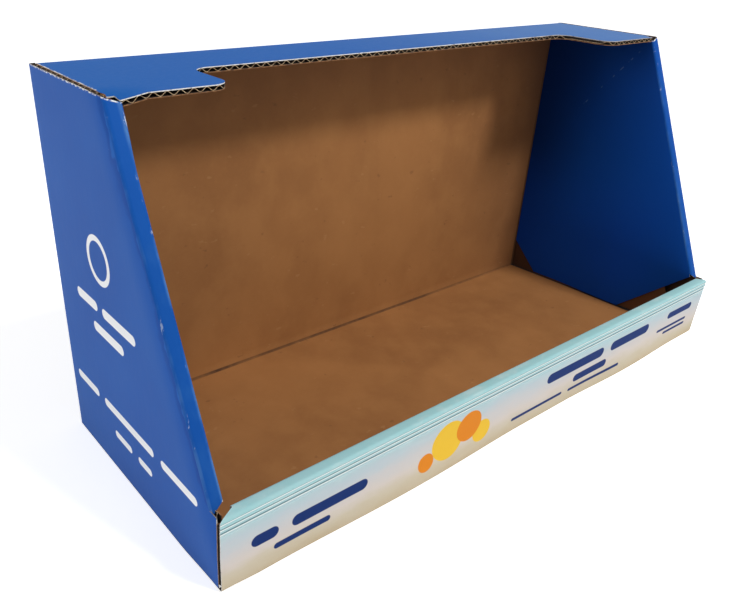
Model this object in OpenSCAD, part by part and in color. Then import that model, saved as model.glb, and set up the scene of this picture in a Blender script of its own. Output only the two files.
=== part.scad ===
/* [Box] */
// overall width, left to right
box_w = 500; // [430:5:580]
// depth of the base, front fold to back fold
box_d = 195; // [175:1:225]
// overall height
box_h = 250; // [215:1:290]

/* [Board] */
// thickness of the corrugated board
board_t = 3.6; // [3:0.1:4]
// outside radius of a pressed fold
fold_r = 2; // [1:0.1:2.6]
// clearance between panels that no fold joins
fit_gap = 0.4; // [0.2:0.1:0.6]
// length of one flute wave, crest to crest
flute_pitch = 7.6; // [6.5:0.1:9]
// thickness of each flat liner of the board
liner_t = 0.5; // [0.4:0.05:0.7]
// depth to which the flutes stand open at the raw edges
flute_depth = 12; // [8:1:16]

/* [Top] */
// depth of the top where it covers the side walls
ear_depth = 102; // [88:1:118]
// width of each deep end of the top, from the outer side face
ear_w = 73; // [50:1:110]
// depth of the narrow strip between the deep ends
strip_depth = 55; // [35:1:68]
// radius of the rounded corners in the front edge of the top
ear_r = 11; // [4:1:13]

/* [Sides] */
// width of the rolled spine along the slanted front edge
spine_w = 8.8; // [8.2:0.2:13]
// angle by which the inner side panel springs away from the outer one
inner_swing = 5; // [2:0.5:7]
// legs of the bevel at the rear lower corner of the inner side panel
rear_bevel = 28; // [15:1:45]
// reach of the long front lower bevel of the inner side panel
front_bevel = 62; // [45:1:80]
// height of the base flap that stands behind the inner side panel
flap_h = 50; // [35:1:65]
// rise of the slanted cut across the foot of the spine
foot_rise = 4; // [1:0.5:8]
// fall of the slanted cut across the head of the spine
spine_drop = 3; // [1:0.5:3.5]

/* [Front lip] */
// height of the front lip
lip_h = 54; // [44:1:75]
// outward lean of the front lip in degrees
lip_lean = 3; // [0:0.5:5]
// width of the flat band rolled over the top of the lip
band_d = 8.6; // [8.2:0.2:14]
// length cut off each end of the band on the slant
band_bevel = 11; // [6:0.5:15]

/* [Hidden] */
$fn = 64;
half_w = box_w / 2;
half_d = box_d / 2;
cut_over = 1;
long_cut = 2 * box_w;
arc_steps = 6;
// lip: its length between the fold pivots, and the centres of its rounded folds
lip_turn = 90 - lip_lean;
lip_len = (lip_h - 2 * board_t) / cos(lip_lean);
lip_out = lip_len * sin(lip_lean);
band_flat = band_d - 2 * board_t;
foot_hub = [(board_t - fold_r) * tan(lip_turn / 2), fold_r];
roll_reach = lip_len + (board_t - fold_r) * tan((180 - lip_turn) / 2);
roll_hub = [roll_reach * sin(lip_lean) + (board_t - fold_r) * cos(lip_lean), lip_h - fold_r];
// frontmost point of the rolled lip edge, used to centre the part
front_y = -half_d + board_t - roll_hub[0] - fold_r;
centre_y = (half_d + front_y) / 2;
// rear end of the flat of the band, counted forwards from the base's front fold
band_end = lip_out - band_flat;
inner_lip_half = half_w - band_bevel;
band_cut = 1.13 * board_t;
// slanted front edge of the sides, from the back of the band up to the top
slant_low_y = -half_d + 2 * board_t - lip_out + band_flat + fit_gap;
slant_low_z = lip_h;
slant_top_y = half_d - ear_depth;
slant_run = slant_top_y - slant_low_y;
slant_rise = box_h - slant_low_z;
slant_a = atan2(slant_run, slant_rise);
// panels of the rolled side, seen along the slanted edge
stub_len = 12;
leg_len = box_h;
inner_turn = 90 - inner_swing;
spine_end = spine_w - board_t;
inner_pivot = [spine_end, board_t];
inner_hub = [spine_end + (board_t - fold_r) * tan(inner_turn / 2), fold_r];
inner_way = [cos(inner_turn), sin(inner_turn)];
inner_face = [sin(inner_turn), -cos(inner_turn)];
wall_inset = (board_t + stub_len / 2) / cos(slant_a);
// front edge of the outer side, just behind the leaning lip
side_front_y = -half_d + board_t + fit_gap;
side_front_top_y = side_front_y - (lip_h - board_t) * tan(lip_lean);
// plan of the top
top_half = half_w - board_t - fit_gap;
strip_y = half_d - strip_depth;
ear_x = half_w - ear_w;
// inner side panel and flap heights
inner_low = board_t + fit_gap;
inner_high = box_h - board_t - fit_gap;
inner_rear_y = half_d - board_t - fit_gap;
bevel_low_y = slant_low_y + front_bevel;
// the flap starts where the sprung inner panel leaves room for a third board
flap_min = 25;
flap_clear = 8;
flap_need = (3 * board_t + 2 * fit_gap - spine_w) / sin(inner_swing);
flap_start = max(flap_min, flap_need + flap_clear);
spine_depth = board_t / cos(slant_a);
// wave of the fluted sheet between the liners, and the hole under one crest
flute_t = 0.45;
flute_v = 0.65 * flute_t;
flute_h = board_t - 2 * liner_t;
wave_a = (flute_h - flute_t) / 2;
hole_from = acos((flute_h / 2 - flute_v) / wave_a);
hole_steps = 6;
top_waves = floor((half_w - spine_w - flute_pitch) / flute_pitch);
side_waves = floor((half_d - board_t - slant_top_y - wall_inset) / flute_pitch) - 1;
groove_depth = 2.5;
groove_end = 2;
lip_way = [sin(lip_lean), cos(lip_lean)];
lip_face = [cos(lip_lean), -sin(lip_lean)];

// points of a rounded fold
function arc(hub, from, to) = [
    for (i = [0:arc_steps])
        let (a = from + (to - from) * i / arc_steps)
            hub + fold_r * [cos(a), sin(a)]
];

// outline of the top: two deep ends and a narrow strip with rounded steps
module top_outline()
{
    difference()
    {
        translate([-top_half, slant_top_y])
            square([2 * top_half, ear_depth - fold_r]);
        translate([-ear_x, slant_top_y - cut_over])
            square([2 * ear_x, strip_y - slant_top_y + cut_over - ear_r]);
        translate([-ear_x + ear_r, strip_y - 2 * ear_r])
            square([2 * (ear_x - ear_r), 2 * ear_r]);
        for (side = [-1, 1])
        {
            translate([side * (ear_x - ear_r), strip_y - ear_r])
                circle(ear_r);
            translate([side * ear_x, slant_top_y])
                ear_tip_cut(side);
            translate([side * half_w - spine_w - fit_gap, slant_top_y - cut_over])
                square([2 * (spine_w + fit_gap), spine_depth + fit_gap + cut_over]);
        }
    }
}

// waste outside the rounded tip of a deep end
module ear_tip_cut(side)
{
    difference()
    {
        translate([side > 0 ? -cut_over : -ear_r, -cut_over])
            square([ear_r + cut_over, ear_r + cut_over]);
        translate([side * ear_r, ear_r])
            circle(ear_r);
    }
}

// plan of the back and outer sides with rounded upright folds
module wrap_plan()
{
    difference()
    {
        translate([-half_w, -half_d])
            square([box_w, box_d]);
        translate([-half_w + board_t, -half_d - cut_over])
            square([box_w - 2 * board_t, box_d + cut_over - board_t]);
        for (side = [-1, 1])
            translate([side * half_w, half_d])
                edge_waste(side);
    }
}

// waste outside a rounded rear corner
module edge_waste(side)
{
    difference()
    {
        translate([side > 0 ? -fold_r : -cut_over, -fold_r])
            square([fold_r + cut_over, fold_r + cut_over]);
        translate([-side * fold_r, -fold_r])
            circle(fold_r);
    }
}

// outline of the outer side, seen from the left
module outer_side_outline()
{
    polygon([
        [half_d + cut_over, 0],
        [side_front_y, 0],
        [side_front_top_y, lip_h],
        [slant_low_y + wall_inset, lip_h],
        [slant_top_y + wall_inset, box_h],
        [half_d + cut_over, box_h]
    ]);
}

// outline of the inner side panel with both lower corners bevelled
module inner_side_outline()
{
    polygon([
        [inner_rear_y, inner_low + rear_bevel],
        [inner_rear_y - rear_bevel, inner_low],
        [bevel_low_y, inner_low],
        [slant_low_y - cut_over, lip_h + foot_rise],
        [slant_low_y - cut_over, inner_high],
        [inner_rear_y, inner_high]
    ]);
}

// turns an outline drawn front to back and upwards into a wall across the width
module across(length)
{
    rotate([90, 0, 90])
        linear_extrude(length, center = true)
            children();
}

// runs a section along the slanted edge of the left side
module along_slant()
{
    translate([-half_w, slant_low_y, slant_low_z])
        rotate([-slant_a, 0, 0])
            translate([0, 0, -leg_len / 2])
                linear_extrude(2 * leg_len)
                    children();
}

// section of the spine with a short length of the outer side
module spine_section()
{
    polygon(concat(
        [[0, board_t + stub_len]],
        arc([fold_r, fold_r], 180, 270),
        [[spine_end, 0], [spine_end, board_t], [board_t, board_t], [board_t, board_t + stub_len]]
    ));
}

// section of the inner side panel with its fold
module inner_section()
{
    polygon(concat(
        [inner_pivot, [spine_end, 0]],
        arc(inner_hub, -90, inner_turn - 90),
        [inner_pivot + board_t * inner_face + leg_len * inner_way, inner_pivot + leg_len * inner_way]
    ));
}

// section of the base flap behind the inner side panel
module flap_section()
{
    near = inner_pivot - fit_gap * inner_face + flap_start * inner_way;
    far = near + leg_len * inner_way;
    polygon([near, far, far - board_t * inner_face, near - board_t * inner_face]);
}

// all that lies on the inner side of the middle of the base flap
module base_section()
{
    middle = inner_pivot - (fit_gap + board_t / 2) * inner_face;
    low = middle - leg_len * inner_way;
    high = middle + leg_len * inner_way;
    polygon([low, high, high + long_cut * inner_face, low + long_cut * inner_face]);
}

// spine, inner panel and base flap of the left side
module rolled_side()
{
    intersection()
    {
        along_slant()
            spine_section();
        spine_room();
    }
    intersection()
    {
        along_slant()
            inner_section();
        across(long_cut)
            inner_side_outline();
    }
    intersection()
    {
        along_slant()
            flap_section();
        translate([-half_w, -half_d, 0])
            cube([half_w, half_d + inner_rear_y, flap_h]);
    }
}

// room of the spine, cut on the slant at its head and at its foot
module spine_room()
{
    rotate([90, 0, 0])
        linear_extrude(long_cut, center = true)
            polygon([
                [-half_w - cut_over, lip_h - board_t],
                [-half_w + board_t, lip_h - board_t],
                [-half_w + board_t, lip_h],
                [-half_w + spine_w + cut_over, lip_h + foot_rise],
                [-half_w + spine_w + cut_over, box_h - spine_drop],
                [-half_w + board_t, box_h],
                [-half_w - cut_over, box_h]
            ]);
}

// back and outer sides in one wrap
module wrap()
{
    intersection()
    {
        linear_extrude(box_h)
            wrap_plan();
        across(long_cut)
            outer_side_outline();
    }
}

// base between the two base flaps
module base()
{
    intersection()
    {
        translate([-top_half, -half_d + board_t, 0])
            cube([2 * top_half, box_d - board_t - fold_r, board_t]);
        along_slant()
            base_section();
        mirror([1, 0, 0])
            along_slant()
                base_section();
    }
}

// places a section at the front fold of the base
module at_front_fold(length)
{
    translate([0, -half_d + board_t, 0])
        rotate([90, 0, -90])
            linear_extrude(length, center = true)
                children();
}

// section of the lip with the rounded folds at its foot and head
module lip_section()
{
    polygon(concat(
        [[0, board_t], [0, 0]],
        arc(foot_hub, -90, lip_turn - 90),
        arc(roll_hub, lip_turn - 90, 90),
        [[band_end, lip_h], [band_end, lip_h - board_t], [lip_out, lip_h - board_t]]
    ));
}

// section of the rear fold of the band and the inner lip panel
module inner_lip_section()
{
    polygon(concat(
        [[band_end, lip_h]],
        arc([band_end - board_t + fold_r, lip_h - fold_r], 90, 180),
        [[band_end - board_t, board_t + fit_gap], [band_end, board_t + fit_gap]]
    ));
}

// front lip with its rolled band and inner panel
module lip()
{
    difference()
    {
        at_front_fold(box_w)
            lip_section();
        for (side = [-1, 1])
            band_end_cut(side);
    }
    at_front_fold(2 * inner_lip_half)
        inner_lip_section();
}

// slanted waste at one end of the band
module band_end_cut(side)
{
    far_y = -half_d + board_t - band_end;
    translate([0, 0, lip_h - band_cut])
        linear_extrude(2 * board_t)
            polygon([
                [side * half_w, front_y],
                [side * (half_w + cut_over), front_y],
                [side * (half_w + cut_over), far_y + cut_over],
                [side * (inner_lip_half + fit_gap), far_y + cut_over]
            ]);
}

// waste outside the rounded fold at the back of the base or the top
module rear_fold_waste(width, low)
{
    across(width)
        translate([half_d, low ? 0 : box_h])
            difference()
            {
                translate([-fold_r, low ? -cut_over : -fold_r])
                    square([fold_r + cut_over, fold_r + cut_over]);
                translate([-fold_r, low ? fold_r : -fold_r])
                    circle(fold_r);
            }
}

// top with its deep ends, between the outer sides
module top()
{
    translate([0, 0, box_h - board_t])
        linear_extrude(board_t)
            top_outline();
}

// section of the hollow under one crest of the fluted sheet, about the middle of the board
module flute_hole()
{
    polygon([
        for (i = [0:hole_steps])
            let (a = hole_from + (360 - 2 * hole_from) * i / hole_steps)
                [(a / 360 - 0.5) * flute_pitch, -wave_a * cos(a) - flute_v]
    ]);
}

// one hollow, under a crest or turned over above a trough
module flute_turn(over)
{
    rotate(over * 180)
        flute_hole();
}

// hollows in the front edge of the top
module top_flutes()
{
    for (i = [-2 * top_waves:2 * top_waves])
    {
        x = i * flute_pitch / 2;
        end_y = (abs(x) < ear_x ? strip_y : slant_top_y) + flute_depth;
        translate([x, end_y, box_h - board_t / 2])
            rotate([90, 0, 0])
                linear_extrude(box_d)
                    flute_turn(i % 2);
    }
}

// hollows in the upper edges of the outer sides
module side_flutes()
{
    for (side = [-1, 1])
        for (i = [1:2 * side_waves])
        {
            x = side * (half_w - board_t / 2);
            y = half_d - board_t - i * flute_pitch / 2;
            translate([x, y, box_h - flute_depth])
                rotate(90)
                    linear_extrude(flute_depth + cut_over)
                        flute_turn(i % 2);
        }
}

// upright hollow cut open in each end of the lip
module lip_groove()
{
    low = [0, board_t] + liner_t * lip_face + groove_end * lip_way;
    high = low + (lip_len - 2 * groove_end) * lip_way;
    for (side = [-1, 1])
        translate([side * half_w, 0, 0])
            at_front_fold(2 * groove_depth)
                polygon([low, high, high + flute_h * lip_face, low + flute_h * lip_face]);
}

// the folded sheet before its raw edges are opened
module folded_sheet()
{
    difference()
    {
        union()
        {
            wrap();
            base();
            top();
        }
        rear_fold_waste(2 * top_half, false);
        rear_fold_waste(box_w - 2 * (spine_w + board_t), true);
    }
    rolled_side();
    mirror([1, 0, 0])
        rolled_side();
    lip();
}

// the whole box with open flutes along its raw edges
module display_box()
{
    color([0.16, 0.37, 0.66])
        translate([0, -centre_y, 0])
            difference()
            {
                folded_sheet();
                top_flutes();
                side_flutes();
                lip_groove();
            }
}

display_box();
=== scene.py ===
import bpy
import bmesh
import math
from mathutils import Matrix, Vector


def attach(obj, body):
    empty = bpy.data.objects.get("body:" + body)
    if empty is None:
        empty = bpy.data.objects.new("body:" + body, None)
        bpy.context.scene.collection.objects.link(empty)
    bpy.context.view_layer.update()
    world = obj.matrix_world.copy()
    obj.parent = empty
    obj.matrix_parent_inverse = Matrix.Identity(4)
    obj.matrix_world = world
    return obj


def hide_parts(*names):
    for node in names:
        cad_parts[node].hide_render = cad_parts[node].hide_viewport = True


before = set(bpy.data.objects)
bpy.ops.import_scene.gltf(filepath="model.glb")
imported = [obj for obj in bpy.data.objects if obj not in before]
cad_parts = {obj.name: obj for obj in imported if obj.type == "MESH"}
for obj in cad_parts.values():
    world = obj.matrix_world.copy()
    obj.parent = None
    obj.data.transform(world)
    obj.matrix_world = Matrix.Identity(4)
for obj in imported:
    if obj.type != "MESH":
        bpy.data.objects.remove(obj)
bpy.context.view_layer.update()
mm = 0.001
slack = 0.01                                                # mm by which a picked corner may miss its line

# sizes of the folded box in mm and degrees, as in the solid model
box = {
    "width": 500, "depth": 195, "height": 250, "board": 3.6, "gap": 0.4, "foldRadius": 2,
    "earDepth": 102, "earWidth": 73, "stripDepth": 55, "earRadius": 11,
    "spine": 8.8, "swing": 5, "rearBevel": 28, "frontBevel": 62, "footRise": 4, "headFall": 3,
    "lipHeight": 54, "lipLean": 3, "band": 8.6,
    "flapHeight": 50, "flapLeast": 25, "flapMore": 8, "flapShort": 0.6,
    "clear": 1,                                             # by which a cut runs past its neighbour
    # small differences of this one box: ends of the band, corners of the top, foot of the inner panels
    "bandBevel": {-1: 11, 1: 4.5}, "notchMore": 2.4, "innerLift": 0.8,
}
board = box["board"]
gap = box["gap"]
clear = box["clear"]
half = box["width"] / 2
tall = box["height"]
lipHigh = box["lipHeight"]
lean = math.radians(box["lipLean"])
square = math.pi / 2
footTurn = square - lean
rollTurn = square + lean
innerTurn = square - math.radians(box["swing"])
lipLength = (lipHigh - 2 * board) / math.cos(lean)
lipOut = lipLength * math.sin(lean)
bandFlat = box["band"] - 2 * board
rollHub = (lipLength + (board - box["foldRadius"]) * math.tan(rollTurn / 2)) * math.sin(lean)
rollHub += (board - box["foldRadius"]) * math.cos(lean)
shift = (rollHub + box["foldRadius"] - board) / 2          # puts the part about y = 0
back = box["depth"] / 2 + shift
foot = -box["depth"] / 2 + board + shift
front = foot - rollHub - box["foldRadius"]
bandRearY = foot - lipOut + bandFlat + clear
slantLowY = foot + board - lipOut + bandFlat + gap
slantTopY = back - box["earDepth"]
stripY = back - box["stripDepth"]
earX = half - box["earWidth"]
sideFrontY = foot + gap
sideFrontTopY = sideFrontY - (lipHigh - board) * math.tan(lean)
innerRearY = back - board - gap
flapRearY = innerRearY - box["flapShort"]
bevelLowY = slantLowY + box["frontBevel"]
slant = math.atan2(slantTopY - slantLowY, tall - lipHigh)
topHalf = half - board - gap
notchX = half - box["spine"] - gap
notchY = slantTopY + board / math.cos(slant) + box["notchMore"]

# directions of the left rolled side: across the spine, back from its edge, up along its edge
acrossWay = Vector((1, 0, 0))
backWay = Vector((0, math.cos(slant), -math.sin(slant)))
edgeWay = Vector((0, math.sin(slant), math.cos(slant)))
innerWay = acrossWay * math.cos(innerTurn) + backWay * math.sin(innerTurn)
innerFace = acrossWay * math.sin(innerTurn) - backWay * math.cos(innerTurn)
slantFoot = Vector((-half, slantLowY, lipHigh))
innerPivot = slantFoot + acrossWay * (box["spine"] - board) + backWay * board
flapRoom = (3 * board + 2 * gap - box["spine"]) / math.sin(math.radians(box["swing"]))
flapStart = max(box["flapLeast"], flapRoom + box["flapMore"])
# the leaning lip: up along it and out of it
lipWay = Vector((0, -math.sin(lean), math.cos(lean)))
lipFace = Vector((0, -math.cos(lean), -math.sin(lean)))
right, rear, up = Vector((1, 0, 0)), Vector((0, 1, 0)), Vector((0, 0, 1))

panelTags = {"back": 1, "base": 2, "lip": 3, "band": 4, "innerLip": 5, "top": 6, "side": 7, "spine": 8,
             "inner": 9, "flap": 10, "stub": 11}


def clearPick():
    if bpy.context.mode != "OBJECT":
        bpy.ops.object.mode_set(mode="OBJECT")
    bpy.ops.object.select_all(action="DESELECT")


def useOnly(piece):
    clearPick()
    piece.select_set(True)
    bpy.context.view_layer.objects.active = piece


def gridPanel(name, corner, wayA, wayB, lengthA, lengthB, cutsA, cutsB):
    clearPick()
    bpy.ops.mesh.primitive_grid_add(x_subdivisions=cutsA, y_subdivisions=cutsB, size=1)
    panel = bpy.context.object
    panel.name = name
    middle = corner + wayA * lengthA / 2 + wayB * lengthB / 2
    place = Matrix((wayA * lengthA, wayB * lengthB, wayA.cross(wayB))).transposed().to_4x4()
    place.translation = middle
    panel.matrix_world = Matrix.Scale(mm, 4) @ place
    bpy.ops.object.transform_apply(location=True, rotation=True, scale=True)
    return panel


def tagFaces(panel, tag):
    bpy.ops.object.mode_set(mode="EDIT")
    mesh = bmesh.from_edit_mesh(panel.data)
    layer = mesh.faces.layers.int.get("panel") or mesh.faces.layers.int.new("panel")
    for face in mesh.faces:
        face[layer] = panelTags[tag]
    bmesh.update_edit_mesh(panel.data)


def tagNew(panel, tag):
    # the carried edge borders on the new faces alone
    mesh = bmesh.from_edit_mesh(panel.data)
    layer = mesh.faces.layers.int.get("panel")
    for edge in mesh.edges:
        if edge.select:
            for face in edge.link_faces:
                face[layer] = panelTags[tag]
    bmesh.update_edit_mesh(panel.data)


def pickEdges(panel, test):
    bpy.ops.object.mode_set(mode="EDIT")
    bpy.ops.mesh.select_mode(type="EDGE")
    bpy.ops.mesh.select_all(action="DESELECT")
    mesh = bmesh.from_edit_mesh(panel.data)
    for edge in mesh.edges:
        if edge.is_boundary and all(test(corner.co / mm) for corner in edge.verts):
            edge.select_set(True)
    bmesh.update_edit_mesh(panel.data)


def pickFaces(panel, tags, test=None):
    bpy.ops.object.mode_set(mode="EDIT")
    bpy.ops.mesh.select_mode(type="FACE")
    bpy.ops.mesh.select_all(action="DESELECT")
    mesh = bmesh.from_edit_mesh(panel.data)
    layer = mesh.faces.layers.int.get("panel")
    wanted = [panelTags[tag] for tag in tags]
    for face in mesh.faces:
        if face[layer] in wanted and (test is None or test(face.calc_center_median() / mm)):
            face.select_set(True)
    bmesh.update_edit_mesh(panel.data)


def cutPicked(point, normal, remove=False):
    bpy.ops.mesh.bisect(plane_co=point * mm, plane_no=normal.normalized(), clear_outer=remove, threshold=1e-6)


def trim(panel, tags, point, normal, test=None):
    pickFaces(panel, tags, test)
    bpy.ops.mesh.split()                                    # so the neighbours keep their corners
    cutPicked(Vector(point), Vector(normal), remove=True)


def applyModifier(piece, kind, settings):
    useOnly(piece)
    modifier = piece.modifiers.new(kind.lower(), kind)
    for key, value in settings.items():
        setattr(modifier, key, value)
    bpy.ops.object.modifier_apply(modifier=modifier.name)


def mergeSeams(piece):
    useOnly(piece)
    bpy.ops.object.mode_set(mode="EDIT")
    bpy.ops.mesh.select_all(action="SELECT")
    bpy.ops.mesh.remove_doubles(threshold=2e-5)
    bpy.ops.mesh.normals_make_consistent(inside=False)


def faceOut(piece, tag, way):
    # the faces of a known panel tell whether the whole sheet has to be turned over
    mergeSeams(piece)
    mesh = bmesh.from_edit_mesh(piece.data)
    layer = mesh.faces.layers.int.get("panel")
    known = [face for face in mesh.faces if face[layer] == panelTags[tag]]
    if sum(face.normal.dot(way) * face.calc_area() for face in known) < 0:
        bpy.ops.mesh.flip_normals()
    bpy.ops.object.mode_set(mode="OBJECT")


def mirrorCopy(piece):
    useOnly(piece)
    bpy.ops.object.duplicate()
    other = bpy.context.object
    other.scale.x = -1
    bpy.ops.object.transform_apply(location=False, rotation=False, scale=True)
    return other


def joinAs(name, pieces):
    clearPick()
    for piece in pieces:
        piece.select_set(True)
    bpy.context.view_layer.objects.active = pieces[0]
    bpy.ops.object.join()
    pieces[0].name = name
    pieces[0].data.name = name
    print("joined", name, len(pieces[0].data.polygons), "faces")
    return pieces[0]


def thicken(piece, thickness, offset, finishes):
    for finish in finishes:
        piece.data.materials.append(finish)
    applyModifier(piece, "SOLIDIFY", {
        "thickness": thickness * mm, "offset": offset, "use_even_offset": True,
        "material_offset": max(0, len(finishes) - 2) * 2, "material_offset_rim": 1})
    bpy.ops.object.mode_set(mode="EDIT")
    bpy.ops.mesh.select_all(action="SELECT")
    bpy.ops.mesh.normals_make_consistent(inside=False)
    clearPick()


def smoothFolds(piece, degrees):
    useOnly(piece)
    bpy.ops.object.shade_smooth_by_angle(angle=math.radians(degrees))


def outlineBlock(name, points, low, high):
    # a round of as many corners as the outline has, its corners moved to the outline
    clearPick()
    bpy.ops.mesh.primitive_circle_add(vertices=len(points), radius=mm, fill_type="NGON")
    block = bpy.context.object
    block.name = name
    for corner, spot in zip(block.data.vertices, points):
        corner.co = Vector((spot[0], spot[1], low)) * mm
    bpy.ops.object.mode_set(mode="EDIT")
    bpy.ops.mesh.select_all(action="SELECT")
    bpy.ops.mesh.extrude_region_move(TRANSFORM_OT_translate={"value": (0, 0, (high - low) * mm)})
    bpy.ops.mesh.select_all(action="SELECT")
    bpy.ops.mesh.normals_make_consistent(inside=False)
    clearPick()
    return block


def earOutline(parts=8, ahead=20):
    r = box["earRadius"]
    spots = [(earX + r, slantTopY - ahead)]
    for i in range(parts + 1):
        a = math.radians(270 - 90 * i / parts)
        spots.append((earX + r + r * math.cos(a), slantTopY + r + r * math.sin(a)))
    for i in range(parts + 1):
        a = math.radians(90 * i / parts)
        spots.append((earX - r + r * math.cos(a), stripY - r + r * math.sin(a)))
    return spots + [(-x, y) for x, y in reversed(spots)]


def cutEars(piece, finish):
    # rounded steps in the front edge of the top
    block = outlineBlock("earBlock", earOutline(), tall - 2 * board, tall + board)
    block.data.materials.append(finish)
    applyModifier(piece, "BOOLEAN", {"object": block, "operation": "DIFFERENCE", "solver": "EXACT",
                                     "material_mode": "TRANSFER"})
    bpy.data.objects.remove(block)


def cutNotches(panel, inset=0):
    # corners of the top left free for the spines
    for side in (-1, 1):
        pickFaces(panel, ["top"])
        cutPicked(right * (side * (notchX - inset)), right * side)
        trim(panel, ["top"], (0, notchY + inset, 0), -rear, lambda p: side * p.x > notchX - inset)


def innerEdges(inset):
    # planes that bound the inner side panel, with the way that is cut away
    bevelRun = Vector((0, slantLowY - clear - bevelLowY, lipHigh + box["footRise"] - board - gap))
    low = board + gap
    slantInset = 1.4 * inset                                # the same inset across a slanted edge
    return [
        (Vector((0, 0, tall - low - inset)), up),
        (Vector((0, 0, low + box["innerLift"] + inset)), -up),
        (Vector((0, innerRearY - inset, 0)), rear),
        (Vector((0, innerRearY - slantInset, low + box["rearBevel"])), Vector((0, 1, -1))),
        (Vector((0, bevelLowY + slantInset, low)), Vector((0, -bevelRun.z, bevelRun.y))),
    ]


# the two liners: depth under the outside, radius of the folds, faces to a fold, depth of the pressed lines,
# how far the flaps reach forward and the base goes under the sides, and angle up to which folds are smooth
printed = {"depth": 0, "radius": 2, "thick": 0.55, "steps": 6, "score": 0.3, "flapAhead": 0, "under": 2,
           "smooth": 28}
kraft = {"depth": 3.5, "radius": 0.15, "thick": 0.5, "steps": 2, "score": 0.1, "flapAhead": 17, "under": 0,
         "smooth": 28}
# faces along each panel, and strips that are made long and trimmed
rows = {"back": (62, 28), "base": 22, "lip": 6, "band": 2, "innerLip": 5, "top": 13, "flap": 6,
        "side": (28, 36), "stub": (2, 62), "spine": 2, "inner": 26}
strips = {"lap": 4, "stub": 6, "below": 40, "length": 310, "inner": 225, "sideMore": 0.5}
scores = {"half": 0.45, "flats": (2.1, 3.3, 1.5)}           # pressed lines under the lip's rolled edge


def runMoves(panel, sheet, heading, inward, moves):
    # carries the picked edge along flats and round folds, one named panel after the other
    for tag, kind, amount, parts in moves:
        steps = []
        if kind == "go":
            steps = [heading * (amount / parts)] * parts
        elif kind == "score":
            steps = [heading * amount + inward * parts, heading * amount - inward * parts]
        else:
            spots = []
            for i in range(parts + 1):
                angle = amount * i / parts
                arm = inward * math.cos(angle) - heading * math.sin(angle)
                spots.append(inward * sheet["radius"] - arm * sheet["radius"])
            steps = [spots[i + 1] - spots[i] for i in range(parts)]
            heading, inward = (heading * math.cos(amount) + inward * math.sin(amount),
                               inward * math.cos(amount) - heading * math.sin(amount))
        for step in steps:
            bpy.ops.mesh.extrude_region_move(TRANSFORM_OT_translate={"value": step * mm})
            tagNew(panel, tag)


def reach(sheet, turn):
    return (board - sheet["depth"] - sheet["radius"]) * math.tan(turn / 2)


def bodySheet(sheet):
    # back, base, lip, band and inner lip, and the top, run from one strip
    deep = sheet["depth"] + sheet["radius"]
    outY = back - sheet["depth"]
    panel = gridPanel("bodyStrip", Vector((half, outY, deep)), -right, up, box["width"], tall - 2 * deep,
                      *rows["back"])
    tagFaces(panel, "back")
    pickEdges(panel, lambda p: p.z < deep + slack)
    scored = sum(scores["flats"]) + 2 * scores["half"] * len(scores["flats"])
    lipFlat = lipLength + reach(sheet, footTurn) + reach(sheet, rollTurn)
    moves = [
        ("base", "fold", square, sheet["steps"]),
        ("base", "go", back - board - foot + reach(sheet, square) + reach(sheet, footTurn), rows["base"]),
        ("lip", "fold", footTurn, sheet["steps"]),
        ("lip", "go", lipFlat - scored, rows["lip"])]
    for flat in scores["flats"]:
        moves += [("lip", "score", scores["half"], sheet["score"]), ("lip", "go", flat, 1)]
    moves += [
        ("band", "fold", rollTurn, sheet["steps"]),
        ("band", "go", bandFlat + reach(sheet, rollTurn) + reach(sheet, square), rows["band"]),
        ("innerLip", "fold", square, sheet["steps"]),
        ("innerLip", "go", lipHigh - 2 * board - gap + reach(sheet, square), rows["innerLip"])]
    runMoves(panel, sheet, -up, -rear, moves)
    pickEdges(panel, lambda p: p.z > tall - deep - slack and p.y > outY - slack)
    runMoves(panel, sheet, up, -rear, [
        ("top", "fold", square, sheet["steps"]),
        ("top", "go", back - board - slantTopY + reach(sheet, square), rows["top"])])
    for side in (-1, 1):
        trimEnds(panel, side)
        foldFlap(panel, sheet, side)
    cutNotches(panel)
    clearPick()
    return panel


def trimEnds(panel, side):
    outward = right * side
    bevel = box["bandBevel"][side]
    trim(panel, ["back"], outward * (half - strips["lap"]), outward)
    trim(panel, ["top"], outward * topHalf, outward)
    trim(panel, ["innerLip"], outward * (half - bevel), outward)
    endCut = Vector((half - bevel + gap, bandRearY, 0)) - Vector((half, front, 0))
    trim(panel, ["band"], (side * half, front, 0), (side * endCut.y, -endCut.x, 0))


def flapLine(sheet, side):
    # point where a base flap's face meets the foot of the base, the way out from there, and its front end
    ahead = flapStart - sheet["flapAhead"]
    near = innerPivot - innerFace * (gap + board - sheet["depth"]) + innerWay * ahead
    startY = near.y - near.z * math.tan(slant) + clear
    x = near.x - ((startY - near.y) * innerFace.y + (sheet["depth"] - near.z) * innerFace.z) / innerFace.x
    outWay = Vector((side * innerFace.x, -innerFace.y, 0)).normalized()
    return Vector((-side * x, startY, sheet["depth"])), outWay, startY


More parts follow.
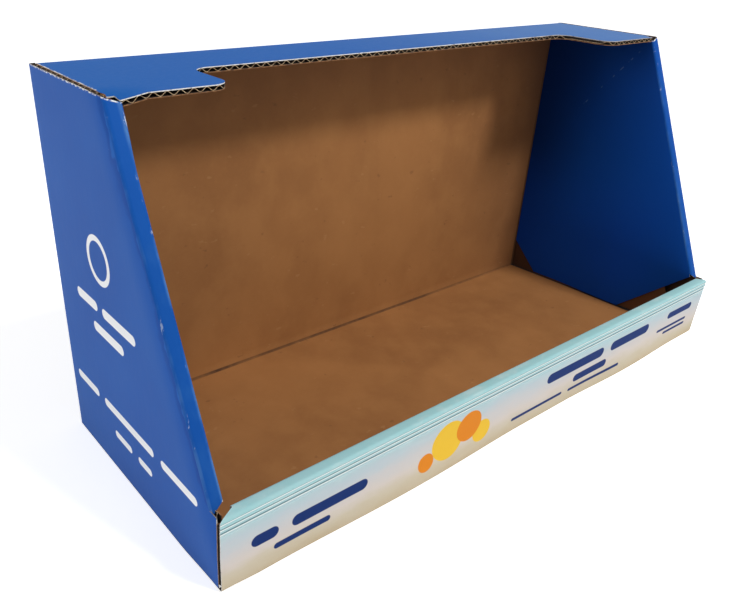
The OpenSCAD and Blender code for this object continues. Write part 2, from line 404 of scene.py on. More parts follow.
def foldFlap(panel, sheet, side):
    # the base ends where its side flap turns up
    deep = sheet["depth"] + sheet["radius"]
    spot, outWay, startY = flapLine(sheet, side)
    spot -= outWay * deep
    for y in (foot, startY, flapRearY):
        pickFaces(panel, ["base"])
        cutPicked(rear * y, rear)
    trim(panel, ["base"], spot, outWay, lambda p: startY < p.y < flapRearY)
    trim(panel, ["base"], right * (side * (topHalf + sheet["under"])), right * side, lambda p: p.y > foot)
    pickEdges(panel, lambda p: abs((p - spot).dot(outWay)) < 2 * slack and p.z < sheet["depth"] + gap / 2
              and startY - slack < p.y < flapRearY + slack)
    runMoves(panel, sheet, outWay.copy(), up, [
        ("flap", "fold", square - math.asin(innerFace.z), sheet["steps"]),
        ("flap", "go", box["flapHeight"] - deep, rows["flap"])])
    edge = innerPivot - innerFace * gap + innerWay * (flapStart - sheet["flapAhead"])
    trim(panel, ["flap"], (-side * edge.x, edge.y, edge.z), (side * innerWay.x, -innerWay.y, -innerWay.z),
         lambda p: side * p.x > 0)


def outerSide(sheet):
    # left outer side with its turn into the back
    deep = sheet["depth"] + sheet["radius"]
    corner = Vector((-half + sheet["depth"], back - deep, 0))
    side = gridPanel("sideStrip", corner, -rear, up, back - deep - sideFrontTopY + strips["sideMore"], tall,
                     *rows["side"])
    tagFaces(side, "side")
    pickEdges(side, lambda p: p.y > back - deep - slack)
    runMoves(side, sheet, rear, acrossWay, [
        ("side", "fold", square, sheet["steps"]), ("side", "go", strips["lap"] - deep, 1)])
    pickFaces(side, ["side"])
    cutPicked(up * lipHigh, up)
    trim(side, ["side"], slantFoot + backWay * (deep + strips["stub"]), -backWay, lambda p: p.z > lipHigh)
    trim(side, ["side"], (0, sideFrontY, 0), lipFace, lambda p: p.z < lipHigh)
    return side


def rolledSide(sheet):
    # left spine and inner panel, rolled from the slanted edge
    deep = sheet["depth"] + sheet["radius"]
    corner = slantFoot + acrossWay * sheet["depth"] + backWay * (deep + strips["stub"])
    corner -= edgeWay * strips["below"]
    roll = gridPanel("rollStrip", corner, -backWay, edgeWay, strips["stub"], strips["length"], *rows["stub"])
    tagFaces(roll, "stub")
    pickEdges(roll, lambda p: (p - slantFoot).dot(backWay) < deep + slack)
    spineFlat = box["spine"] - 2 * board + reach(sheet, square) + reach(sheet, innerTurn)
    runMoves(roll, sheet, -backWay, acrossWay, [
        ("spine", "fold", square, sheet["steps"]),
        ("spine", "go", spineFlat, rows["spine"]),
        ("spine", "fold", innerTurn, sheet["steps"]),
        ("inner", "go", strips["inner"], rows["inner"])])
    footWay = Vector((-box["footRise"], 0, box["spine"] + clear - board))
    trim(roll, ["stub"], up * tall, up)
    trim(roll, ["spine"], (-half, 0, tall), (box["headFall"], 0, box["spine"]))
    trim(roll, ["stub"], up * lipHigh, -up)
    trim(roll, ["spine"], (-half + board, 0, lipHigh), -footWay)
    for point, normal in innerEdges(0):
        trim(roll, ["inner"], point, normal)
    return roll


def foldedSheet(sheet, name, offset, finishes):
    body = bodySheet(sheet)
    faceOut(body, "back", rear)
    left = joinAs(name + "Left", [outerSide(sheet), rolledSide(sheet)])
    faceOut(left, "side", -right)
    other = mirrorCopy(left)
    faceOut(other, "side", right)
    for piece in (body, left, other):
        thicken(piece, sheet["thick"], offset, finishes)
    cutEars(body, finishes[1])
    return joinAs(name, [body, left, other])


# wavy sheet between the liners: it stands back by the inset at the raw edges
medium = {"pitch": 7.6, "thick": 0.26, "middle": 1.75, "swing": 1.1, "parts": 10, "inset": 0.25,
          "innerRows": 18, "lipRows": 8, "lipDown": 2.3, "flapUp": 4, "flapTall": 60,
          "ahead": 150, "below": 60, "cover": 380, "edgeShort": 2.5, "smooth": 45}
waveDeep = medium["middle"]
inset = medium["inset"]


def fluteSheet(tag, corner, across, along, acrossLength, alongLength, outward, rowCount=2):
    # a fine grid whose rows are lifted and lowered
    parts = round(acrossLength / medium["pitch"] * medium["parts"])
    wave = gridPanel("wave", corner, across, along, acrossLength, alongLength, parts, rowCount)
    for point in wave.data.vertices:
        turn = 2 * math.pi * (point.co / mm - corner).dot(across) / medium["pitch"]
        point.co += outward * (medium["swing"] * math.cos(turn) * mm)
    tagFaces(wave, tag)
    return wave


def topWave():
    corner = Vector((-topHalf + inset, slantTopY + inset, tall - waveDeep))
    wave = fluteSheet("top", corner, right, rear, 2 * (topHalf - inset), back - strips["lap"] - slantTopY, up)
    cutNotches(wave, inset)
    return wave


def sideWave():
    corner = Vector((-half + waveDeep, sideFrontTopY + inset, inset))
    wave = fluteSheet("side", corner, rear, up, back - strips["lap"] - sideFrontTopY, tall - 2 * inset,
                      -right)
    pickFaces(wave, ["side"])
    cutPicked(up * lipHigh, up)
    trim(wave, ["side"], slantFoot + backWay * medium["edgeShort"], -backWay, lambda p: p.z > lipHigh)
    trim(wave, ["side"], (0, sideFrontY + inset, 0), lipFace, lambda p: p.z < lipHigh)
    return wave


def innerWave():
    # the flutes turn with the rolled panel, so inside they run on the slant
    along = edgeWay * math.cos(slant) + innerWay * math.sin(slant)
    across = innerWay * math.cos(slant) - edgeWay * math.sin(slant)
    start = innerPivot + innerFace * (board - waveDeep) - across * medium["ahead"] - along * medium["below"]
    wave = fluteSheet("inner", start, across, along, medium["cover"], medium["cover"], innerFace,
                      medium["innerRows"])
    trim(wave, ["inner"], innerPivot + innerWay * clear, -innerWay)
    for point, normal in innerEdges(inset):
        trim(wave, ["inner"], point, normal)
    return wave


def lipWave():
    corner = Vector((-half + inset, foot, board)) + lipFace * (board - waveDeep) - lipWay * medium["lipDown"]
    return fluteSheet("lip", corner, right, lipWay, box["width"] - 2 * inset, lipLength + medium["lipDown"],
                      lipFace, medium["lipRows"])


def flapWave():
    flapWay = Vector((innerFace.y, -innerFace.x, 0)).normalized() * -1
    spot, outWay, startY = flapLine(printed, -1)
    flapUp = flapWay.cross(innerFace).normalized()
    if flapUp.z < 0:
        flapUp = -flapUp
    wave = fluteSheet("flap", spot + innerFace * waveDeep + flapUp * medium["flapUp"], flapWay, flapUp,
                      innerRearY - startY, medium["flapTall"], innerFace)
    trim(wave, ["flap"], up * (box["flapHeight"] - inset), up)
    trim(wave, ["flap"], rear * (innerRearY - clear - inset), rear)
    trim(wave, ["flap"], innerPivot - innerFace * gap + innerWay * (flapStart + inset), -innerWay)
    return wave


def wavySheet(name, finishes):
    top, left, inner, lip, flap = topWave(), sideWave(), innerWave(), lipWave(), flapWave()
    clearPick()
    waves = [top, left, inner, lip, flap]
    waves += [mirrorCopy(wave) for wave in (left, inner, flap)]
    for wave in waves:
        mergeSeams(wave)
        thicken(wave, medium["thick"], 0, finishes)
    cutEars(top, finishes[1])
    return joinAs(name, waves)


# materials: sockets are worked on as plain sums

class Wire:
    def __init__(self, maker, socket):
        self.maker = maker
        self.socket = socket

    def maths(self, operation, first, second=0.0):
        return self.maker.node("Math", {"operation": operation}, {0: first, 1: second})

    def __add__(self, other):
        return self.maths("ADD", self, other)

    def __radd__(self, other):
        return self.maths("ADD", other, self)

    def __sub__(self, other):
        return self.maths("SUBTRACT", self, other)

    def __rsub__(self, other):
        return self.maths("SUBTRACT", other, self)

    def __mul__(self, other):
        return self.maths("MULTIPLY", self, other)

    def __rmul__(self, other):
        return self.maths("MULTIPLY", other, self)

    def __truediv__(self, other):
        return self.maths("DIVIDE", self, other)

    def __rtruediv__(self, other):
        return self.maths("DIVIDE", other, self)

    def __pow__(self, other):
        return self.maths("POWER", self, other)

    def __rpow__(self, other):
        return self.maths("POWER", other, self)

    def __abs__(self):
        return self.maths("ABSOLUTE", self)

    def __neg__(self):
        return self.maths("MULTIPLY", self, -1.0)

    def __gt__(self, other):
        return self.maths("GREATER_THAN", self, other)

    def __lt__(self, other):
        return self.maths("LESS_THAN", self, other)


class NodeMaker:
    def __init__(self, tree):
        self.tree = tree

    def link(self, value, socket):
        if isinstance(value, Wire):
            self.tree.links.new(value.socket, socket)
        else:
            socket.default_value = value

    def node(self, kind, settings=None, inputs=None, output=0):
        made = self.tree.nodes.new("ShaderNode" + kind)
        for key, value in (settings or {}).items():
            if key == "stops":
                ramp = made.color_ramp
                while len(ramp.elements) < len(value):
                    ramp.elements.new(0.5)
                for element, (spot, colour) in zip(ramp.elements, value):
                    element.position = spot
                    element.color = colour
            else:
                setattr(made, key, value)
        for key, value in (inputs or {}).items():
            self.link(value, made.inputs[key])
        return Wire(self, made.outputs[output])

    def mix(self, share, first, second):
        return self.node("Mix", {"data_type": "RGBA"}, {0: share, 6: first, 7: second}, 2)

    def lowest(self, first, second=1):
        return self.node("Math", {"operation": "MINIMUM"}, {0: first, 1: second})

    def highest(self, first, second):
        return self.node("Math", {"operation": "MAXIMUM"}, {0: first, 1: second})

    def seen(self):
        # 1 for the rays that show the backdrop, straight, mirrored or through glass
        path = self.node("LightPath").socket.node
        rays = [path.outputs["Is %s Ray" % kind] for kind in ("Camera", "Glossy", "Transmission")]
        return self.lowest(sum(Wire(self, ray) for ray in rays))


class Finish(NodeMaker):
    def __init__(self, name):
        self.material = bpy.data.materials.new(name)
        self.material.use_nodes = True
        super().__init__(self.material.node_tree)
        self.shader = self.tree.nodes["Principled BSDF"]
        self.where = self.node("TexCoord", output="Object")
        parts = self.node("SeparateXYZ", None, {0: self.where}).socket.node
        self.x, self.y, self.z = (Wire(self, parts.outputs[i]) * 1000 for i in range(3))

    def feed(self, **inputs):
        for key, value in inputs.items():
            self.link(value, self.shader.inputs[key.replace("_", " ")])

    def step(self, value, low, high):
        return self.node("MapRange", {"interpolation_type": "SMOOTHSTEP"},
                         {"Value": value, "From Min": low, "From Max": high})

    def near(self, value, place, core, edge):
        return 1 - self.step(abs(value - place), core, edge)

    def noise(self, scale, detail=3.0, stretch=(1, 1, 1), rough=0.5):
        place = self.node("Mapping", None, {"Vector": self.where, "Scale": stretch})
        return self.node("TexNoise", None, {"Vector": place, "Scale": scale, "Detail": detail,
                                            "Roughness": rough})

    def bump(self, height, distance, strength=1.0):
        return self.node("Bump", None, {"Height": height, "Distance": distance, "Strength": strength})

    def plate(self, across, along, spot, size, corner, soft=0.25):
        # share of a plate with rounded corners, given by its middle and half sizes in mm
        a = self.highest(abs(across - spot[0]) - (size[0] - corner), 0)
        b = self.highest(abs(along - spot[1]) - (size[1] - corner), 0)
        return 1 - self.step((a * a + b * b) ** 0.5, corner - soft, corner + soft)

    def plates(self, across, along, bars):
        share = None
        for spot, size in bars:
            bar = self.plate(across, along, spot, size, size[1])
            share = bar if share is None else self.highest(share, bar)
        return share

    def panel(self, *tags):
        value = self.node("Attribute", {"attribute_name": "panel"}, None, "Fac")
        share = None
        for tag in tags:
            here = abs(value - panelTags[tag]) < 0.4
            share = here if share is None else share + here
        return share


def ink(red, green, blue):
    # screen colour 0-255 to linear light
    def straight(value):
        value /= 255
        return value / 12.92 if value <= 0.04045 else ((value + 0.055) / 1.055) ** 2.4
    return (straight(red), straight(green), straight(blue), 1)


def grey(level):
    return (level, level, level, 1)


# cut edges of the liners and the fluted sheet: dark and light colour, scale of the grain
papers = {
    "paperEdge": (ink(216, 210, 202), ink(248, 246, 242), 900),
    "fluteEdge": (ink(184, 148, 106), ink(228, 202, 164), 700),
    "kraftEdge": (ink(104, 68, 40), ink(158, 114, 74), 500),
    # painted shade: the fluted sheet and the inner faces of the liners are drawn near black for the shade
    # inside the flute tunnels
    "fluteShadePaper": (ink(26, 16, 10), ink(46, 29, 18), 420),
}
paperWear = {"dust": ink(74, 62, 60), "broken": ink(96, 78, 76), "rubAndFootShade": ink(70, 58, 52),
             "tuckedShade": ink(52, 36, 26), "edge": 1.2}


def makePaperFinish(name):
    dark, light, scale = papers[name]
    finish = Finish(name)
    x, y, z = finish.x, finish.y, finish.z
    grain = finish.noise(scale, 3, (1, 1, 0.4))
    colour = finish.mix(finish.step(grain, 0.3, 0.7), dark, light)
    dust = finish.step(finish.noise(260, 3, (1, 1, 1), 0.6), 0.56, 0.64)
    colour = finish.mix(dust * 0.6, colour, paperWear["dust"])
    # upper edges: broken along the sides, duller along the top towards its right end
    edgeX = half - paperWear["edge"]
    broken = finish.step(finish.noise(170, 2), 0.46, 0.53) * (abs(x) > edgeX) * 0.75
    broken = broken + finish.step(x, 60, 240) * (abs(x) < edgeX) * 0.6
    colour = finish.mix(finish.lowest(broken) * (z > tall - 1), colour, paperWear["broken"])
    # rubbed edges at the lip's height beside the sides, and painted contact shade along the bottom edge
    rubAndFootShade = finish.near(z, lipHigh, 0.5, 1.2) * (abs(x) > half - 2) + finish.step(-z, -2.6, -1.4)
    colour = finish.mix(finish.lowest(rubAndFootShade) * 0.8, colour, paperWear["rubAndFootShade"])
    # painted shade: the cut edges of the flaps, which lie in the shade between the two side walls, are
    # darkened
    tuckedShade = (z < box["flapHeight"] + 2) * (y > foot + 5) * (abs(x) < half - 3)
    finish.feed(Base_Color=finish.mix(tuckedShade * 0.85, colour, paperWear["tuckedShade"]), Roughness=0.88)
    return finish.material


kraftInks = {
    "dark": ink(142, 92, 45), "light": ink(164, 110, 58), "patch": ink(174, 120, 66),
    "fibre": ink(186, 136, 84), "fleck": ink(194, 148, 96), "speck": ink(88, 54, 30),
    "creaseAndShade": ink(66, 38, 20), "jointShade": ink(14, 8, 6), "flap": ink(70, 36, 20), "flapRear": ink(26, 13, 8),
    "hollowShade": ink(18, 10, 7), "shade": ink(92, 57, 30), "corner": ink(64, 36, 18),
}


def kraftPaper(finish, patch, fibre):
    cloud = finish.noise(7, 4, (1, 1, 0.7), 0.6)
    fleck = finish.step(finish.noise(150, 2, (0.7, 1, 1.3)), 0.69, 0.77)
    speck = finish.step(finish.noise(170, 2, (0.7, 0.9, 1)), 0.7, 0.78)
    colour = finish.mix(finish.step(cloud, 0.28, 0.72), kraftInks["dark"], kraftInks["light"])
    colour = finish.mix(finish.step(patch, 0.38, 0.7) * 0.36, colour, kraftInks["patch"])
    colour = finish.mix(finish.step(fibre, 0.4, 0.8) * 0.1, colour, kraftInks["fibre"])
    colour = finish.mix(fleck * 0.2, colour, kraftInks["fleck"])
    return finish.mix(speck * 0.3, colour, kraftInks["speck"])


def kraftCreaseAndJointShade(finish, colour):
    x, y, z = finish.x, finish.y, finish.z
    shake = finish.noise(60, 3, (1, 1, 1), 0.6)
    # dark crease where the back turns into the base and into the top: pressed paper and painted shade in the
    # fold
    creaseAndShade = finish.near(z, board + 0.4, 0.5, 1.6) + finish.near(z, tall - board, 0.5, 2)
    creaseAndShade = creaseAndShade * finish.panel("back") + finish.near(y, back - board, 0.8, 2.2) * finish.panel("base")
    creaseAndShade = creaseAndShade * (1 - finish.step(x, 40, 200) * 0.55)
    colour = finish.mix(finish.lowest(creaseAndShade * (shake * 1.3)), colour, kraftInks["creaseAndShade"])
    # painted shade, darker still, on the base and the back along the foot of the inner side panels
    offset = [-abs(x) - innerPivot.x, y - innerPivot.y, z - innerPivot.z]
    fromInner = sum(part * way for part, way in zip(offset, innerFace))
    wider = finish.near(y, -28, 0, 70) * (x > 0) * 2
    jointShade = 1 - finish.step(fromInner - wider, board + 1.2, board + 2.5)
    jointShade = jointShade * (finish.panel("base") + finish.panel("back") * 0.7)
    return finish.mix(finish.lowest(jointShade * (0.85 + shake * 0.4)), colour, kraftInks["jointShade"])


def kraftShade(finish, colour):
    x, y, z = finish.x, finish.y, finish.z
    onFlap, onBack = finish.panel("flap"), finish.panel("back")
    # painted shade: the kraft faces inside the right hollow wall are drawn near black
    hollowShade = finish.panel("side", "stub", "spine", "innerLip") * (x > 0)
    # painted shade on the base flaps, darkest towards the rear
    colour = finish.mix(onFlap * 0.7, colour, kraftInks["flap"])
    colour = finish.mix(onFlap * finish.step(y, 30, 80) * 0.6, colour, kraftInks["flapRear"])
    colour = finish.mix(hollowShade * 0.85, colour, kraftInks["hollowShade"])
    shaded = finish.step(x, 90, 250) * 0.4 + finish.step(z, 170, 248) * 0.5
    colour = finish.mix(onBack * shaded, colour, kraftInks["shade"])
    # painted shadow of the right wall in the right-hand corner of the back
    corner = finish.step(x, 180, 245) * finish.step(z, 90, 190) * 0.7
    return finish.mix(onBack * corner, colour, kraftInks["corner"])


def makeKraftFinish():
    finish = Finish("kraftLiner")
    patch = finish.noise(34, 3, (1, 1, 0.8), 0.55)
    fibre = finish.noise(420, 4, (0.6, 0.8, 0.8), 0.65)
    colour = kraftShade(finish, kraftCreaseAndJointShade(finish, kraftPaper(finish, patch, fibre)))
    ridge = finish.node("Math", {"operation": "SINE"}, {0: finish.x * (2 * math.pi / medium["pitch"])})
    relief = fibre * 0.25 + ridge * 0.03 + patch * 0.4
    finish.feed(Base_Color=colour, Roughness=0.74 + fibre * 0.16, Normal=finish.bump(relief, 0.0005, 0.45))
    return finish.material


printInks = {
    "blue": ink(22, 88, 174), "deep": ink(16, 78, 164), "pale": ink(46, 106, 186), "sideSheen": ink(112, 138, 189),
    "top": ink(4, 92, 171), "topSheen": ink(128, 164, 204), "foot": ink(14, 40, 88),
    "inner": ink(10, 78, 178), "innerRear": ink(4, 38, 96), "innerEndShade": ink(2, 26, 70),
    "innerLowLight": ink(20, 86, 220), "scuff": ink(62, 122, 190), "spineLow": ink(12, 70, 146),
    "fold": ink(104, 152, 206), "torn": ink(214, 222, 230), "nick": ink(226, 230, 236),
    "pressed": ink(14, 62, 144), "worn": ink(34, 104, 188), "cut": ink(112, 142, 184),
    "paper": ink(236, 238, 240), "under": ink(224, 220, 212),
}
# sea colour at the lip's rolled edge, fading down to sand, with pressed lines near the edge
shoreInks = {
    "stops": [(0.0, ink(204, 187, 156)), (0.2, ink(212, 200, 177)), (0.36, ink(221, 211, 203)),
              (0.52, ink(213, 211, 211)), (0.68, ink(198, 211, 217)), (0.86, ink(180, 214, 218)),
              (1.0, ink(164, 211, 214))],
    "mottle": ink(214, 228, 226), "rubAndFootShade": ink(116, 100, 82), "lines": (51.2, 47.7, 44.6),
    "lineDark": ink(74, 108, 116), "linePale": ink(248, 252, 250),
}
# plain shapes of the print: middle and half sizes in mm on the side (y, z) and on the lip (x, z)
artwork = {
    "white": ink(253, 254, 255), "navy": ink(14, 46, 108),
    "yellow": ink(246, 200, 62), "orange": ink(234, 140, 38),
    "sideRing": ((27, 153), 15.5, 3.6),
    "sideBars": [((52, 119), (15, 3.3)), ((8, 119), (22, 3.3)), ((25, 104), (21, 3.3)), ((70, 49), (17, 3)),
                 ((10, 49), (34, 3)), ((-54, 49), (21, 3)), ((20, 31), (12, 2.6)), ((-10, 31), (9, 2.6))],
    "lipBars": [((-222, 27), (9, 4.2)), ((-176, 27), (28, 4.2)), ((-196, 15), (20, 2.2)),
                ((62, 33), (36, 4.4)), ((136, 33), (28, 4.4)), ((84, 20), (22, 3.4)),
                ((214, 34), (20, 3.2)), ((206, 22), (24, 1.3)), ((212, 17), (18, 1.3)),
                ((20, 12), (30, 1.3)), ((92, 11), (34, 1.3))],
    "yellowDiscs": [((-78, 26), 15), ((-44, 19), 9)], "orangeDiscs": [((-58, 29), 12), ((-98, 17), 7)],
}
cutRow = {"spot": (3, 239.5), "way": (0.633, -0.774), "pitch": 11, "length": 78}


def lipPrint(finish):
    x, z = finish.x, finish.z
    wash = finish.noise(26, 5, (1, 1, 2.4), 0.62)
    ripple = finish.noise(90, 4, (0.5, 1, 1.6), 0.6)
    level = z + (wash - 0.5) * 15 + (ripple - 0.5) * 4
    shore = finish.node("ValToRGB", {"stops": shoreInks["stops"]}, {0: level / lipHigh})
    mottle = finish.step(ripple, 0.5, 0.72) * finish.step(z, 30, 46) * 0.4
    shore = finish.mix(mottle, shore, shoreInks["mottle"])
    for tint in ("yellow", "orange"):
        discs = [(spot, (size, size)) for spot, size in artwork[tint + "Discs"]]
        shore = finish.mix(finish.plates(x, z, discs), shore, artwork[tint])
    shore = finish.mix(finish.plates(x, z, artwork["lipBars"]), shore, artwork["navy"])
    # painted contact shade along the lip's bottom edge
    shore = finish.mix((1 - finish.step(z, 0.3, 1.8)) * 0.5, shore, shoreInks["rubAndFootShade"])
    # a dark and a pale line side by side
    onLip = finish.panel("lip") * 0.85
    for height in shoreInks["lines"]:
        shore = finish.mix(finish.near(z, height + 0.8, 0.15, 0.5) * onLip, shore, shoreInks["lineDark"])
        shore = finish.mix(finish.near(z, height, 0.2, 0.6) * onLip, shore, shoreInks["linePale"])
    return shore


def bluePrint(finish, cloud, fine, inSide):
    x, y, z = finish.x, finish.y, finish.z
    blue = finish.mix(finish.step(cloud, 0.3, 0.7), printInks["deep"], printInks["blue"])
    blue = finish.mix(finish.step(fine, 0.5, 0.9) * 0.16, blue, printInks["pale"])
    # painted sheen: the sides paler and greyer away from the slanted front edge
    sideSheen = finish.panel("side", "stub") * finish.step(inSide, 3, 24) * (0.1 + cloud * 0.08)
    blue = finish.mix(sideSheen, blue, printInks["sideSheen"])
    # white shapes on the sides
    spot, size, line = artwork["sideRing"]
    hole = size - line
    ring = finish.plate(y, z, spot, (size, size), size) - finish.plate(y, z, spot, (hole, hole), hole)
    marks = finish.highest(ring, finish.plates(y, z, artwork["sideBars"])) * finish.panel("side")
    colour = finish.mix(marks * (0.98 - finish.step(fine, 0.6, 0.9) * 0.3), blue, artwork["white"])
    # painted shade: the top in a deeper blue than the sides, to offset the sheen on it
    colour = finish.mix(finish.panel("top") * 0.8, colour, printInks["top"])
    # painted contact shade along the bottom edge of the sides and the back
    rubAndFootShade = (1 - finish.step(z, 0.3, 1.5)) * finish.panel("side", "back")
    colour = finish.mix(rubAndFootShade * 0.6, colour, printInks["foot"])
    # painted sheen: the top is lighter towards its right end, where it catches the light
    topSheen = finish.step(x, -120, 300) * finish.panel("top") * (0.22 + cloud * 0.3)
    return finish.mix(topSheen, colour, printInks["topSheen"])


def innerShade(finish, colour):
    # painted shade on the inner panels: darker all over and darker to the rear, with painted light at the
    # lower front
    y, z = finish.y, finish.z
    onInner = finish.panel("inner")
    colour = finish.mix(onInner * 0.8, colour, printInks["inner"])
    rearShade = finish.step(y * 0.6 + z * 0.6, 50, 185)
    colour = finish.mix(onInner * rearShade * 0.75, colour, printInks["innerRear"])
    colour = finish.mix(onInner * finish.step(y, 30, 96) * 0.6, colour, printInks["innerEndShade"])
    lowFrontLight = (1 - finish.step(z, 30, 150)) * finish.step(y, -80, -10)
    return finish.mix(onInner * lowFrontLight * 0.6, colour, printInks["innerLowLight"])


def paperEdges(finish, colour):
    # paper showing along the raw edges of the top, the sides and the spines' heads
    fromSide = half - abs(finish.x)
    headDown = fromSide * (box["headFall"] / box["spine"]) + finish.z - tall
    raw = finish.near(abs(finish.x), topHalf, 0.4, 1) * finish.panel("top")
    raw = raw + finish.near(finish.z, tall, 0.4, 0.9) * finish.panel("side", "stub")
    raw = raw + finish.near(headDown, 0, 0.5, 1) * finish.panel("spine")
    ragged = finish.step(finish.noise(340, 3, (1, 1, 1), 0.6), 0.47, 0.57)
    return finish.mix(finish.lowest(raw) * ragged, colour, printInks["paper"])


def spineWear(finish, colour, scuff, tear):
    # pale scuffs, paler along the folds, a few white nicks
    x, z = finish.x, finish.z
    onSpine = finish.panel("spine")
    fromSide = half - abs(x)
    folds = finish.near(fromSide, box["spine"] - 0.6, 0.3, 1.8) + finish.near(fromSide, 0.4, 0.2, 1.1) * 0.5
    folds = folds * (1 - (x > 0) * 0.6) * onSpine
    colour = finish.mix(finish.step(scuff, 0.46, 0.66) * onSpine * 0.2, colour, printInks["scuff"])
    colour = finish.mix(onSpine * (1 - finish.step(z, 150, 230)) * 0.3, colour, printInks["spineLow"])
    colour = finish.mix(finish.lowest(folds * finish.step(scuff, 0.4, 0.62)) * 0.5, colour, printInks["fold"])
    colour = finish.mix(finish.lowest(folds * finish.step(tear, 0.63, 0.7)) * 0.8, colour, printInks["torn"])
    nick = finish.near(half + x, box["spine"] + 0.8, 0.3, 0.8) * finish.step(z, 234, 240) * onSpine
    return finish.mix(nick * finish.step(tear, 0.44, 0.54), colour, printInks["nick"])


def sideWear(finish, colour, scuff, inSide):
    # dark pressed line on the side beside the spine
    beside = finish.panel("side", "stub") * finish.step(finish.z, lipHigh, lipHigh + 4)
    wavy = finish.noise(38, 3, (1, 1, 1), 0.6) - 0.5
    pressed = finish.near(inSide + wavy * 20, 3, 0.8, 5) * beside
    colour = finish.mix(pressed * (0.3 + scuff * 0.4), colour, printInks["pressed"])
    worn = (1 - finish.step(inSide + wavy * 24, 0.4, 1.8)) * beside
    return finish.mix(worn * 0.7, colour, printInks["worn"])


def innerCuts(finish, colour, tear):
    # row of small cuts on the right inner panel
    y, z = finish.y - cutRow["spot"][0], finish.z - cutRow["spot"][1]
    wayY, wayZ = cutRow["way"]
    along = y * wayY + z * wayZ
    aside = z * wayY - y * wayZ
    beat = finish.node("Math", {"operation": "FRACT"}, {0: along / cutRow["pitch"]})
    cuts = finish.near(aside, 0, 0.2, 0.7) * (beat < 0.5) * (along > -2) * (along < cutRow["length"])
    cuts = cuts * finish.panel("inner") * (finish.x > 0)
    return finish.mix(cuts * finish.step(tear, 0.42, 0.56) * 0.32, colour, printInks["cut"])


def makePrintFinish():
    finish = Finish("printedLiner")
    cloud = finish.noise(7, 3)
    fine = finish.noise(330, 3, (1, 1, 0.35))
    scuff = finish.noise(46, 4, (1, 1, 0.4), 0.62)
    tear = finish.noise(210, 3, (1, 1, 0.5), 0.6)
    inSide = (finish.y - slantLowY) * math.cos(slant) - (finish.z - lipHigh) * math.sin(slant)
    colour = bluePrint(finish, cloud, fine, inSide)
    colour = paperEdges(finish, innerShade(finish, colour))
    colour = spineWear(finish, colour, scuff, tear)
    colour = sideWear(finish, colour, scuff, inSide)
    colour = innerCuts(finish, colour, tear)
    colour = finish.mix(finish.panel("lip", "band", "innerLip"), colour, lipPrint(finish))
    colour = finish.mix(finish.panel("base", "flap"), colour, printInks["under"])
    relief = scuff * finish.panel("spine") * 1.4 + fine * 0.3 + cloud * 0.5
    finish.feed(Base_Color=colour, Roughness=0.52 + fine * 0.12, Normal=finish.bump(relief, 0.0006, 0.35),
                Specular_IOR_Level=0.07)
    return finish.material


paperEdge, fluteEdge, kraftEdge, fluteShadePaper = (makePaperFinish(name) for name in papers)
kraftFinish = makeKraftFinish()
printFinish = makePrintFinish()
print("finishes ready")

# soft bends of the used board: spot, reach and move in mm
dents = [
    {"panels": ["top"], "spot": (-243, -4, 248), "reach": (18, 16, 20), "move": (0, 0, -2.6)},
    {"panels": ["side", "lip", "base", "innerLip"], "spot": (-250, -94, 0), "reach": (26, 44, 30),
     "move": (0.9, 0.7, 0.5)},
    {"panels": ["lip", "base"], "spot": (-105, -96, 0), "reach": (110, 20, 28), "move": (0, -2.3, 0)},
    {"panels": ["lip", "base"], "spot": (140, -96, 0), "reach": (80, 20, 24), "move": (0, -2, 0)},
    {"panels": ["spine"], "spot": (-241, -5, 248), "reach": (14, 30, 40), "move": (1.6, 0, -0.6)},
    {"panels": ["inner"], "spot": (235, -28, 4), "reach": (40, 75, 60), "move": (-2.2, 0, -0.6)},
]


def bend(piece, dent):
    # moves the named panels of a piece, most at the dent's spot
    tags = piece.data.attributes["panel"].data
    wanted = [panelTags[tag] for tag in dent["panels"]]
    touched = set()
    for face in piece.data.polygons:
        if tags[face.index].value in wanted:
            touched.update(face.vertices)
    for number in touched:
        point = piece.data.vertices[number]
        apart = point.co / mm - Vector(dent["spot"])
        far = Vector([apart[i] / dent["reach"][i] for i in range(3)]).length
        if far < 1:
            point.co += Vector(dent["move"]) * mm * (1 - far * far) ** 2


printedSheet = foldedSheet(printed, "printedSheet", -1, [printFinish, paperEdge, fluteShadePaper])
kraftSheet = foldedSheet(kraft, "kraftSheet", 1, [fluteShadePaper, kraftEdge, kraftFinish])
flutedMedium = wavySheet("flutedMedium", [fluteShadePaper, fluteEdge])
for piece, sheet in ((printedSheet, printed), (kraftSheet, kraft), (flutedMedium, medium)):
    smoothFolds(piece, sheet["smooth"])
    for dent in dents:
        bend(piece, dent)
    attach(piece, "root")
    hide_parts("display_box")
    print("piece", piece.name, len(piece.data.polygons), "faces")

# floor, light and camera
studio = {"world": 0.28, "floor": 0.97, "floorSize": 24, "glow": 0.6, "farGlow": 0.8, "fade": (600, 2600)}
lamps = {
    "keyLamp": {"place": (0.55, -1.5, 2.15), "size": 0.5, "power": 43},
    "fillLamp": {"place": (-2.0, 0.6, 0.9), "size": 1.4, "power": 14},
}
lampTarget = Vector((0, 0, 0.1))
view = {"place": (-390.1, -355.6, 330.5), "azimuth": -40.51, "elevation": 26.6, "roll": 2.5,
        "focal": 747.6, "middle": (348.84, 293.92), "frame": (735, 608), "sensor": 36}


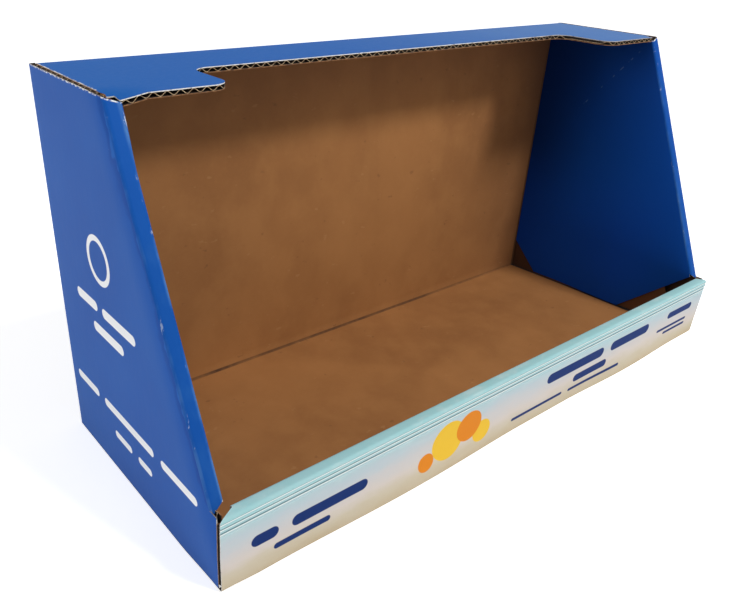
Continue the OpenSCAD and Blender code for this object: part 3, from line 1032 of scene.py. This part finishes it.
def makeFloor():
    clearPick()
    bpy.ops.mesh.primitive_plane_add(size=studio["floorSize"], location=(0, 0, 0))
    floor = bpy.context.object
    floor.name = "floor"
    finish = Finish("floorPaper")
    away = finish.step((finish.x * finish.x + finish.y * finish.y) ** 0.5, *studio["fade"])
    glow = finish.mix(away, grey(studio["glow"]), grey(studio["farGlow"]))
    glow = finish.mix(finish.seen(), grey(0), glow)
    finish.feed(Base_Color=grey(studio["floor"]), Roughness=0.9, Emission_Color=glow, Emission_Strength=1,
                Specular_IOR_Level=0.1)
    floor.data.materials.append(finish.material)


def makeWorld():
    world = bpy.data.worlds.new("studio")
    bpy.context.scene.world = world
    world.use_nodes = True
    maker = NodeMaker(world.node_tree)
    sky = world.node_tree.nodes["Background"]
    maker.link(maker.mix(maker.seen(), grey(studio["world"]), grey(1)), sky.inputs["Color"])
    maker.link(1, sky.inputs["Strength"])


def addLamp(name, setting):
    lamp = bpy.data.lights.new(name, "AREA")
    lamp.shape = "DISK"
    lamp.size = setting["size"]
    lamp.energy = setting["power"]
    holder = bpy.data.objects.new(name, lamp)
    bpy.context.scene.collection.objects.link(holder)
    holder.location = setting["place"]
    holder.rotation_euler = (lampTarget - Vector(setting["place"])).to_track_quat("-Z", "Y").to_euler()


def makeCamera():
    azimuth, elevation, roll = (math.radians(view[key]) for key in ("azimuth", "elevation", "roll"))
    level = math.cos(elevation)
    backwards = Vector((math.sin(azimuth) * level, -math.cos(azimuth) * level, math.sin(elevation)))
    across = (-backwards).cross(up).normalized()
    upright = across.cross(-backwards)
    turned = across * math.cos(roll) + upright * math.sin(roll)
    raised = upright * math.cos(roll) - across * math.sin(roll)
    wide, high = view["frame"]
    lens = bpy.data.cameras.new("camera")
    lens.sensor_width = view["sensor"]
    lens.lens = view["focal"] / wide * view["sensor"]
    lens.shift_x = (wide / 2 - view["middle"][0]) / wide
    lens.shift_y = (view["middle"][1] - high / 2) / wide
    lens.clip_start = 0.01
    holder = bpy.data.objects.new("camera", lens)
    bpy.context.scene.collection.objects.link(holder)
    place = Matrix((turned, raised, backwards)).transposed().to_4x4()
    place.translation = Vector(view["place"]) * mm
    holder.matrix_world = place
    bpy.context.scene.camera = holder


makeFloor()
makeWorld()
for name, setting in lamps.items():
    addLamp(name, setting)
makeCamera()
bpy.context.scene.view_settings.view_transform = "Standard"
print("stage ready")
